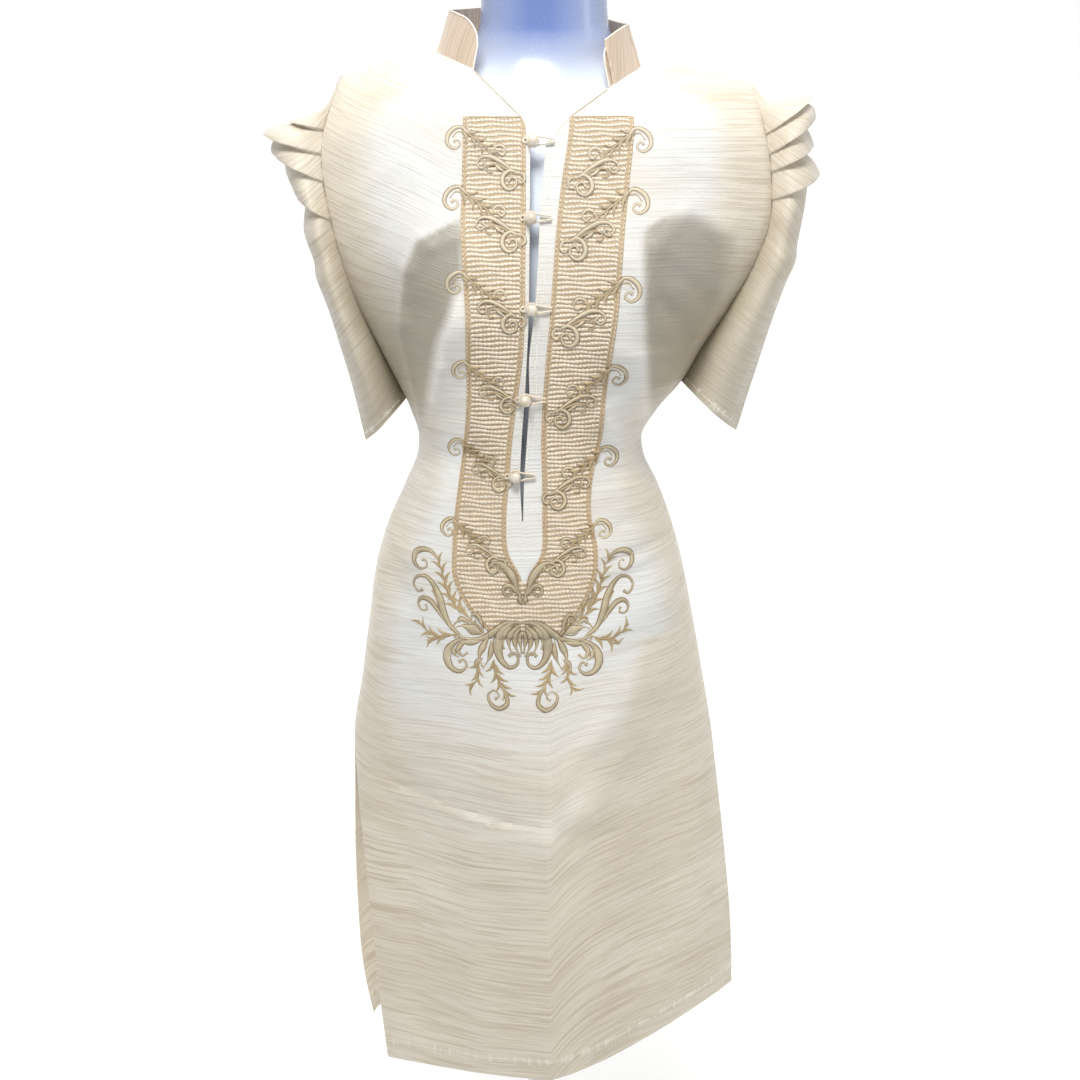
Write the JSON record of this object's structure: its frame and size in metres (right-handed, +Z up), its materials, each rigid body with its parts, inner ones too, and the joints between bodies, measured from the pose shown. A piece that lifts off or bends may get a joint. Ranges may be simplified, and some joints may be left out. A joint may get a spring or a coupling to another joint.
{
  "type": "filipiniana tunic dress on a dress form",
  "caption": "Knee-length ivory tunic dress with pleated sleeves, a stand collar and a buttoned front opening, worn by a smooth armless dress form on a round base.",
  "frame": {"origin": "centre of the round base's underside, on the floor", "axes": "+Z up along the pole, -Y towards the dress's front, +X towards the wearer's left"},
  "size_m": [0.5422, 0.3388, 1.3466],
  "materials": {
    "ivory_cloth": "ivory silk-like cloth with fine weft streaks and a soft sheen",
    "embroidered_cream": "cream cloth with hemstitched rows and satin cord",
    "collar_cloth": "the same cloth with its tan streaks upright",
    "pearl": "pearl",
    "form_plastic": "smooth gloss, bluish white",
    "stand_steel": "brushed"
  },
  "bodies": {
    "root": {"front": "ivory_cloth", "back": "ivory_cloth", "sleeve_left": "ivory_cloth", "sleeve_right": "ivory_cloth", "collar": "collar_cloth", "placket_left": "ivory_cloth", "placket_right": "ivory_cloth", "embroidered_panel": "embroidered_cream", "button_1": "pearl", "button_2": "pearl", "button_3": "pearl", "button_4": "pearl", "button_5": "pearl", "loop_1": "embroidered_cream", "loop_2": "embroidered_cream", "loop_3": "embroidered_cream", "loop_4": "embroidered_cream", "loop_5": "embroidered_cream", "dress_form": "form_plastic", "stand_pole": "stand_steel", "stand_base": "stand_steel"}
  },
  "joints": []
}
